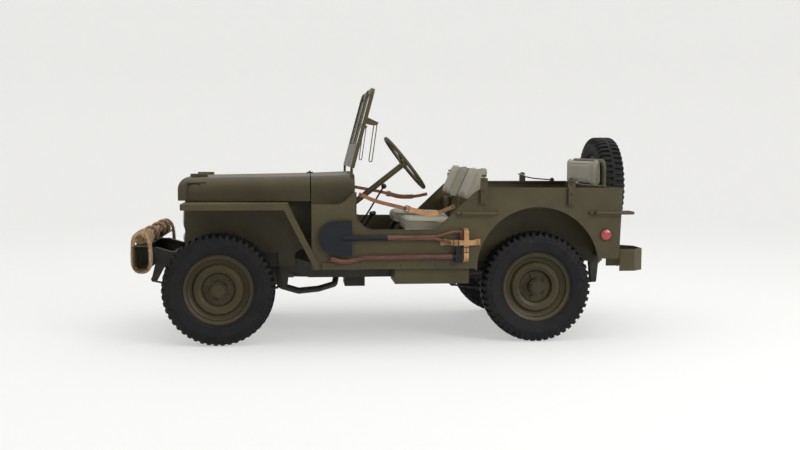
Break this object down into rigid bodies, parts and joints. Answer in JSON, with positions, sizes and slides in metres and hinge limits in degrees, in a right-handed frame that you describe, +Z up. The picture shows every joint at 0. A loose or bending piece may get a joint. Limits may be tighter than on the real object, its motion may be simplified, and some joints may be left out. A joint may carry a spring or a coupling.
{
  "type": "open army 4x4 car",
  "caption": "Open light army four-wheel-drive car with folding windshield, hinged hood, canvas seats, side-mounted shovel and axe, rope on the bumper and a spare wheel.",
  "frame": {"origin": "on the ground at the middle of the car's length and width", "axes": "+X forward, +Y to the driver's left side, +Z up"},
  "size_m": [3.3195, 1.56, 1.6346],
  "materials": {
    "olive_body": "satin",
    "olive_wheel": "satin",
    "dark_metal": "matt, oily",
    "tyre": "matt",
    "glass": "clear",
    "canvas": "woven",
    "leather": "worn",
    "wood": "oiled",
    "tool_steel": "blued",
    "rope": "laid fibre",
    "lamp": "satin"
  },
  "bodies": {
    "chassis": {"axe": "wood", "body_side_left": "olive_body", "body_side_right": "olive_body", "cowl": "olive_body", "dash": "olive_body", "drive_shafts": "dark_metal", "driver_cushions": "canvas", "driver_seat_frame": "olive_body", "engine_block": "dark_metal", "exhaust": "dark_metal", "firewall": "olive_body", "floor": "olive_body", "frame_crossmembers": "olive_body", "frame_rails": "olive_body", "front_axle": "olive_body", "front_bumper": "olive_body", "front_fenders": "olive_body", "fuel_tank": "olive_body", "gearbox": "dark_metal", "grille": "olive_body", "lamps": "lamp", "leaf_springs": "dark_metal", "levers": "olive_body", "radiator": "dark_metal", "rear_axle": "olive_body", "rear_cushion": "canvas", "rear_guards": "olive_body", "rear_panel": "olive_body", "rear_seat_frame": "olive_body", "seat_pivots": "olive_body", "shovel": "tool_steel", "side_fittings": "olive_body", "spare_carrier": "olive_body", "steering_column": "olive_body", "straps": "leather", "tow_rope": "rope", "tyre_spare": "tyre", "wheel_spare": "olive_wheel", "wheelhouses": "olive_body"},
    "knuckle_left": {"knuckle_left": "olive_body"},
    "knuckle_right": {"knuckle_right": "olive_body"},
    "tie_rod": {"tie_rod": "olive_body"},
    "steering_wheel": {"steering_wheel": "olive_body"},
    "hood": {"hood": "olive_body"},
    "windshield": {"windshield_frame": "olive_body", "windshield_glass": "glass", "windshield_fittings": "olive_body"},
    "passenger_seat": {"passenger_seat_frame": "olive_body", "passenger_cushions": "canvas"},
    "rear_back": {"rear_back_frame": "olive_body", "rear_back_cushion": "canvas"},
    "wheel_front_left": {"tyre_front_left": "tyre", "wheel_front_left": "olive_wheel"},
    "wheel_front_right": {"tyre_front_right": "tyre", "wheel_front_right": "olive_wheel"},
    "wheel_rear_left": {"tyre_rear_left": "tyre", "wheel_rear_left": "olive_wheel"},
    "wheel_rear_right": {"tyre_rear_right": "tyre", "wheel_rear_right": "olive_wheel"}
  },
  "joints": [
    {"name": "steer_left", "type": "hinge", "parent": "chassis", "child": "knuckle_left", "pos_m": [1.116, 0.505, 0.356], "axis": [0, 0, 1], "range_deg": [-22, 22]},
    {"name": "steer_right", "type": "hinge", "parent": "chassis", "child": "knuckle_right", "pos_m": [1.116, -0.505, 0.356], "axis": [0, 0, 1], "range_deg": [-22, 22]},
    {"name": "tie_rod_swing", "type": "hinge", "parent": "knuckle_left", "child": "tie_rod", "pos_m": [1.256, 0.505, 0.364], "axis": [0, 0, 1], "range_deg": [-22, 22]},
    {"name": "steering_wheel_turn", "type": "hinge", "parent": "chassis", "child": "steering_wheel", "pos_m": [-0.087, 0.382, 1.151], "axis": [-0.7874, 0, 0.6165], "range_deg": [-308, 308]},
    {"name": "spin_front_left", "type": "hinge", "parent": "knuckle_left", "child": "wheel_front_left", "pos_m": [1.116, 0.613, 0.356], "axis": [0, 1, 0], "continuous": true},
    {"name": "spin_front_right", "type": "hinge", "parent": "knuckle_right", "child": "wheel_front_right", "pos_m": [1.116, -0.613, 0.356], "axis": [0, 1, 0], "continuous": true},
    {"name": "spin_rear_left", "type": "hinge", "parent": "chassis", "child": "wheel_rear_left", "pos_m": [-0.916, 0.613, 0.356], "axis": [0, 1, 0], "continuous": true},
    {"name": "spin_rear_right", "type": "hinge", "parent": "chassis", "child": "wheel_rear_right", "pos_m": [-0.916, -0.613, 0.356], "axis": [0, 1, 0], "continuous": true},
    {"name": "hood_open", "type": "hinge", "parent": "chassis", "child": "hood", "pos_m": [0.535, 0, 1.086], "axis": [0, -1, 0], "range_deg": [0, 115]},
    {"name": "windshield_fold", "type": "hinge", "parent": "chassis", "child": "windshield", "pos_m": [0.271, 0, 1.11], "axis": [0, -1, 0], "range_deg": [-101, 0]},
    {"name": "passenger_seat_tip", "type": "hinge", "parent": "chassis", "child": "passenger_seat", "pos_m": [-0.08, -0.395, 0.53], "axis": [0, 1, 0], "range_deg": [0, 40]},
    {"name": "rear_back_fold", "type": "hinge", "parent": "chassis", "child": "rear_back", "pos_m": [-1.4333, 0, 0.955], "axis": [0, 1, 0], "range_deg": [0, 88]}
  ],
  "couplings": [
    {"joint": "steer_right", "follows": "steer_left", "ratio": 1},
    {"joint": "tie_rod_swing", "follows": "steer_left", "ratio": -1},
    {"joint": "steering_wheel_turn", "follows": "steer_left", "ratio": 14}
  ]
}
